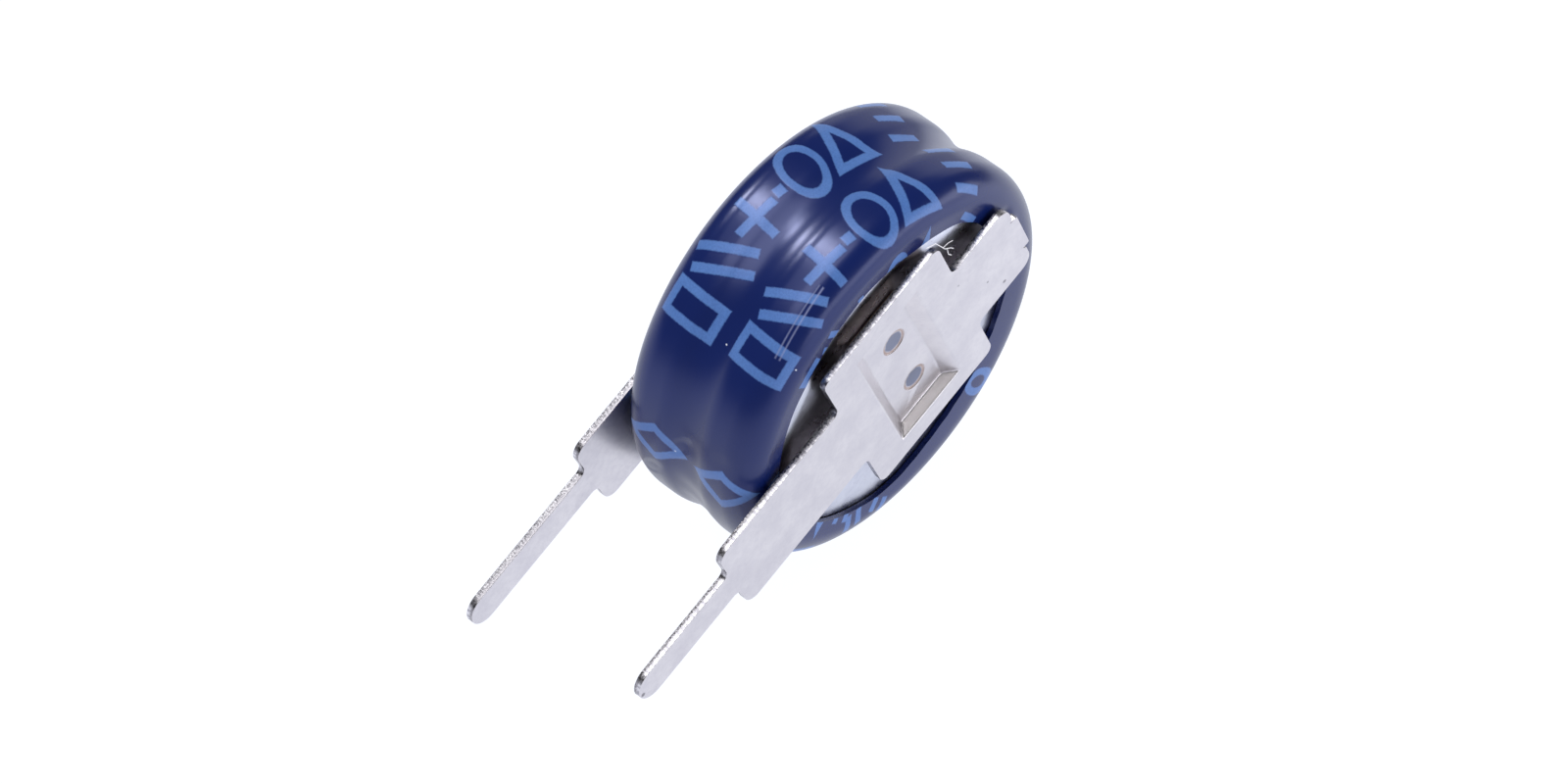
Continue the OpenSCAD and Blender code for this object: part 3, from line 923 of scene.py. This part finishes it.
# Tin-plated steel strip: pale, faintly lavender and satin, with a fine grain and soft clouds. The
# welds are dull grey-blue discs inside a ring of brown heat tint.
# Painted light makes it lighter where the sheet turns away from its face, and painted shade darkens the inner
# face between terminal and cell.
def tinPlate():
    if "tin_plate" in bpy.data.materials:
        return bpy.data.materials["tin_plate"]
    material, tree, shader = newMaterial("tin_plate", {"Metallic": 1.0, "Roughness": 0.3})
    t, w = tin, tinWear
    coords = boardCoords(tree)
    sides = addNode(tree, "SeparateXYZ", None, coords).node.outputs
    clouds = mottle(tree, coords, t["cloudSize"], 3)
    grain = mottle(tree, coords, t["grains"]["size"], 3)
    clouds = addNode(tree, "MapRange", softly, clouds, *mottleRange)
    base = addNode(tree, "Mix", inColour, clouds, *t["tones"])
    base = addPatches(tree, base, mottle(tree, coords, t["patches"]["size"], 3), t["patches"])
    base = addPatches(tree, base, grain, t["grains"])
    lie = addNode(tree, "TexCoord").node.outputs["Normal"]
    lie = addNode(tree, "SeparateXYZ", None, lie).node.outputs[1]
    bent = addNode(tree, "MapRange", softly, addNode(tree, "Math", absolute, lie), *t["bentSpan"], 1.0, 0.0)
    # Painted light: where the sheet turns away from its face, as on the pocket's walls, it is painted
    # lighter.
    base = addNode(tree, "Mix", inColour, bent, base, t["bentPaintedLight"])
    # The inner face is where the surface looks back towards the middle of the cells. Above the
    # given heights it gets painted shade, darker and browner, between the terminal and the cell.
    inner = addNode(tree, "Math", times, sides[1], lie)
    inner = addNode(tree, "MapRange", softly, inner, -1.0, 0.0, 1.0, 0.0)
    inner = addNode(tree, "Math", times, inner, addNode(tree, "MapRange", softly, sides[2], *t["innerLow"]))
    base = addNode(tree, "Mix", inColour, inner, base, t["innerShadeTone"])
    ring, disc, speck = tinMarks(tree, coords, sides)
    ring = addNode(tree, "Math", times, ring, w["ringStrength"])
    base = addNode(tree, "Mix", inColour, ring, base, w["ringTone"])
    base = addNode(tree, "Mix", inColour, disc, base, addNode(tree, "Mix", inColour, grain, *w["weldTones"]))
    speck = addNode(tree, "Math", times, speck, w["speckStrength"])
    base = addNode(tree, "Mix", inColour, speck, base, w["speckTone"])
    tree.links.new(base, shader.inputs["Base Color"])
    rough = addNode(tree, "MapRange", softly, grain, *mottleRange, *t["roughness"])
    rough = addNode(tree, "Math", timesPlus, bent, t["bentRoughness"], rough)
    rough = addNode(tree, "Math", timesPlus, disc, w["weldRoughness"], rough)
    tree.links.new(rough, shader.inputs["Roughness"])
    size, rise = t["peel"]
    peel = addNode(tree, "Math", times, mottle(tree, coords, size, 2), rise)
    emboss(tree, shader, addNode(tree, "Math", timesPlus, grain, t["grains"]["height"], peel))
    return material


shear = {
    "brightTones": ("#a5a3ab", "#e4e2e8"),
    "lines": (0.07, (1, 5, 1)),        # width in mm, and how far they are drawn out
    "lineSpan": (0.35, 0.65),
    "lineHeight": 0.0012,
    "brokenDepth": (0.08, 0.14),       # mm below the outer face where it begins and is full
    "brokenTones": ("#87848a", "#bdbbc1"),
    "crumbSize": 0.05,
    "crumbSpan": (0.35, 0.7),
    "crumbHeight": 0.002,
    "roughness": (0.24, 0.45),
}


# Bare edge of the strip where the punch sheared it: bright burnished lines across the sheet's
# thickness, then a rough broken zone towards the inner face.
def shearedEdge():
    if "sheared_steel_edge" in bpy.data.materials:
        return bpy.data.materials["sheared_steel_edge"]
    material, tree, shader = newMaterial("sheared_steel_edge", {"Metallic": 1.0, "Roughness": 0.3})
    coords = boardCoords(tree)
    size, stretch = shear["lines"]
    lines = mottle(tree, coords, size, 3, stretch)
    crumbs = mottle(tree, coords, shear["crumbSize"], 3)
    place = addNode(tree, "SeparateXYZ", None, coords).node.outputs[1]
    place = addNode(tree, "Math", absolute, place)
    depth = addNode(tree, "Math", minus, board["terminalFace"], place)
    broken = addNode(tree, "MapRange", softly, depth, *shear["brokenDepth"])
    bright = addNode(tree, "MapRange", softly, lines, *shear["lineSpan"])
    bright = addNode(tree, "Mix", inColour, bright, *shear["brightTones"])
    dull = addNode(tree, "MapRange", softly, crumbs, *shear["crumbSpan"])
    dull = addNode(tree, "Mix", inColour, dull, *shear["brokenTones"])
    tree.links.new(addNode(tree, "Mix", inColour, broken, bright, dull), shader.inputs["Base Color"])
    rough = addNode(tree, "MapRange", softly, crumbs, *mottleRange, *shear["roughness"])
    tree.links.new(rough, shader.inputs["Roughness"])
    rough = addNode(tree, "Math", times, crumbs, addNode(tree, "Math", times, broken, shear["crumbHeight"]))
    emboss(tree, shader, addNode(tree, "Math", timesPlus, lines, shear["lineHeight"], rough))
    return material


makeTerminal("front_terminal_strip", board["frontPin"], False, "front_terminal")
makeTerminal("rear_terminal_strip", board["rearPin"], True, "rear_terminal")
print("terminals ready")


# A stray white fibre that clings to the upper corner of the front terminal: its main run and two
# side hairs, as points (x, y, z) on the board.
fibre = {
    "radius": 0.011,
    "tones": ("#eeeef2", "#fdfdff"),
    "toneSize": 0.1,
    "runs": [
        [(-4.16, -2.50, 2.30), (-3.95, -2.52, 2.58), (-3.62, -2.50, 2.66), (-3.30, -2.52, 2.74),
         (-3.05, -2.50, 2.90), (-2.80, -2.46, 2.98)],
        [(-3.42, -2.51, 2.71), (-3.44, -2.54, 2.88), (-3.36, -2.56, 3.02)],
        [(-3.20, -2.51, 2.80), (-2.98, -2.54, 2.74), (-2.84, -2.55, 2.80)],
    ],
}


def makeFibre():
    pieces = []
    for run in fibre["runs"]:
        obj = drawLine("stray_fibre", run)
        editMode(False)
        bpy.ops.object.convert(target="CURVE")
        obj.data.bevel_depth = fibre["radius"]
        obj.data.bevel_resolution = 1
        obj.data.use_fill_caps = True
        bpy.ops.object.convert(target="MESH")
        pieces.append(bpy.context.object)
    for piece in pieces:
        piece.select_set(True)
    bpy.context.view_layer.objects.active = pieces[0]
    bpy.ops.object.join()
    pieces[0].data.materials.append(cottonLint())
    finishPiece(pieces[0])


# Cotton lint: white and matt, so it shows as a soft pale hair.
def cottonLint():
    material, tree, shader = newMaterial("cotton_lint", {"Roughness": 0.8})
    tone = addNode(tree, "Mix", inColour, mottle(tree, boardCoords(tree), fibre["toneSize"]), *fibre["tones"])
    tree.links.new(tone, shader.inputs["Base Color"])
    return material


makeFibre()
print("fibre ready")


steel = {
    "tones": ("#c9ccdb", "#dadde9"),
    "clouds": (0.45, 0.004),           # size and height, mm
    "grains": {"tone": "#a8a6a8", "size": 0.08, "span": (0.6, 0.8), "strength": 0.4, "height": 0.002},
    "roughness": (0.26, 0.34),
    "flatRadius": 3.9,                 # outside this the face falls towards the rim, on one side
    "fall": 0.5,                       # mm at 1 mm further out, growing with the square
    "fallSide": (-1.5, 0.5),           # full and none, across the terminal
}


# Nickel-plated stainless steel, deep drawn: bright and a little cool, with a grain and clouds that
# break up what it mirrors.
def cellSteel():
    material, tree, shader = newMaterial("nickel_plated_steel", {"Metallic": 1.0, "Roughness": 0.26})
    coords = boardCoords(tree)
    cloudSize, cloudHeight = steel["clouds"]
    clouds = mottle(tree, coords, cloudSize, 3)
    grain = mottle(tree, coords, steel["grains"]["size"], 3)
    base = addNode(tree, "MapRange", softly, clouds, *mottleRange)
    base = addNode(tree, "Mix", inColour, base, *steel["tones"])
    tree.links.new(addPatches(tree, base, grain, steel["grains"]), shader.inputs["Base Color"])
    rough = addNode(tree, "MapRange", softly, clouds, *mottleRange, *steel["roughness"])
    tree.links.new(rough, shader.inputs["Roughness"])
    reach = addNode(tree, "VectorMath", lengthOf, addNode(tree, "VectorMath", times, coords, (1, 0, 1)))
    past = addNode(tree, "Math", larger, addNode(tree, "Math", minus, reach, steel["flatRadius"]), 0.0)
    fall = addNode(tree, "Math", times, addNode(tree, "Math", times, past, past), -steel["fall"])
    side = addNode(tree, "SeparateXYZ", None, coords).node.outputs[0]
    share = addNode(tree, "MapRange", softly, side, *steel["fallSide"], 1.0, 0.0)
    fall = addNode(tree, "Math", times, fall, share)
    height = addNode(tree, "Math", timesPlus, clouds, cloudHeight, fall)
    emboss(tree, shader, addNode(tree, "Math", timesPlus, grain, steel["grains"]["height"], height))
    return material


# What lies inside the cells: dark and pale tone, roughness, size and height of the grain in mm,
# and how far it is drawn out along each axis.
insides = {
    # Moulded polypropylene: natural, milky and a little waxy.
    "gasket": {"name": "natural_polypropylene", "tones": ("#dbd8cc", "#efece3"), "roughness": 0.42,
               "grain": 0.25, "height": 0.003, "stretch": (1, 1, 1)},
    # Pressed activated carbon: black, matt and grainy.
    "electrode": {"name": "activated_carbon", "tones": ("#0f0f11", "#2c2c31"), "roughness": 0.9,
                  "grain": 0.07, "height": 0.02, "stretch": (1, 1, 1)},
    # Cellulose separator paper: off-white, with fibres that lie in its plane.
    "separator": {"name": "separator_paper", "tones": ("#ddd7c9", "#f6f2ea"), "roughness": 0.84,
                  "grain": 0.05, "height": 0.008, "stretch": (6, 1, 1)},
}


# A material of one tone that its own grain and soft clouds vary.
def grainyMaterial(look):
    material, tree, shader = newMaterial(look["name"], {"Roughness": look["roughness"]})
    coords = boardCoords(tree)
    grain = mottle(tree, coords, look["grain"], 4, look["stretch"])
    clouds = mottle(tree, coords, look["grain"] * 9)
    tone = addNode(tree, "Math", timesPlus, clouds, 0.4, addNode(tree, "Math", times, grain, 0.6))
    tone = addNode(tree, "MapRange", softly, tone, *mottleRange)
    base = addNode(tree, "Mix", inColour, tone, *look["tones"])
    tree.links.new(base, shader.inputs["Base Color"])
    span = (look["roughness"] - 0.06, look["roughness"] + 0.06)
    rough = addNode(tree, "MapRange", softly, grain, *mottleRange, *span)
    tree.links.new(rough, shader.inputs["Roughness"])
    emboss(tree, shader, addNode(tree, "Math", times, grain, look["height"]))
    return material


def dressCells():
    finishes = {ending: grainyMaterial(look) for ending, look in insides.items()}
    finishes["can"] = finishes["cap"] = cellSteel()
    finishes["sleeve"] = bpy.data.materials["plain_shrink_pvc"]
    finishes["terminal"] = bpy.data.materials["tin_plate"]
    for name, obj in nodes.items():
        for ending, material in finishes.items():
            if name.endswith(ending):
                obj.data.materials.clear()
                obj.data.materials.append(material)


dressCells()
print("cells ready")
